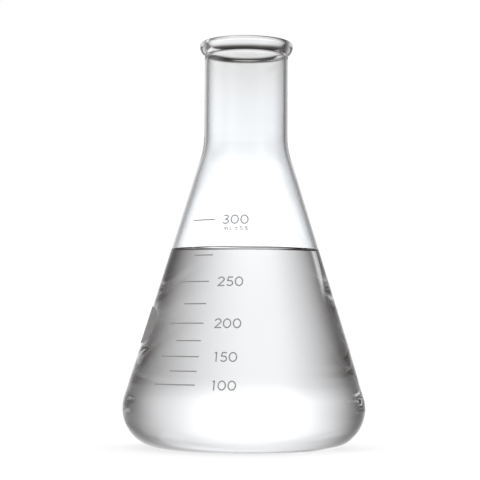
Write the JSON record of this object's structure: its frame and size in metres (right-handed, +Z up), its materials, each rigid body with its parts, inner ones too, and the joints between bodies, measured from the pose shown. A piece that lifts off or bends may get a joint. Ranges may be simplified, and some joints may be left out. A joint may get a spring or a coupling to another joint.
{
  "type": "erlenmeyer flask",
  "caption": "Conical glass laboratory flask with a beaded rim, grey enamel volume scale and marking spot, part full of water.",
  "frame": {"origin": "centre of the flat ring that the flask stands on, at bench level", "axes": "+Z up along the flask's axis, -Y towards the printed scale, -X towards the marking spot"},
  "size_m": [0.0872, 0.0872, 0.146],
  "materials": {
    "clear_glass": "clear fire-polished borosilicate glass",
    "clear_water": null,
    "grey_enamel": "fired-on grey enamel, satin",
    "spot_enamel": "fired-on grey enamel, matt enough to write on"
  },
  "bodies": {
    "root": {"digit_100_hundreds": "grey_enamel", "digit_100_tens": "grey_enamel", "digit_100_units": "grey_enamel", "digit_150_hundreds": "grey_enamel", "digit_150_tens": "grey_enamel", "digit_150_units": "grey_enamel", "digit_200_hundreds": "grey_enamel", "digit_200_tens": "grey_enamel", "digit_200_units": "grey_enamel", "digit_250_hundreds": "grey_enamel", "digit_250_tens": "grey_enamel", "digit_250_units": "grey_enamel", "digit_300_hundreds": "grey_enamel", "digit_300_tens": "grey_enamel", "digit_300_units": "grey_enamel", "flask_body": "clear_glass", "line_100_ml": "grey_enamel", "line_125_ml": "grey_enamel", "line_150_ml": "grey_enamel", "line_175_ml": "grey_enamel", "line_200_ml": "grey_enamel", "line_225_ml": "grey_enamel", "line_250_ml": "grey_enamel", "line_275_ml": "grey_enamel", "line_300_ml": "grey_enamel", "marking_spot": "spot_enamel", "percent_ring_lower": "grey_enamel", "percent_ring_upper": "grey_enamel", "percent_slash": "grey_enamel", "tolerance_5": "grey_enamel", "tolerance_minus": "grey_enamel", "tolerance_plus": "grey_enamel", "unit_l": "grey_enamel", "unit_m": "grey_enamel", "water": "clear_water"}
  },
  "joints": []
}
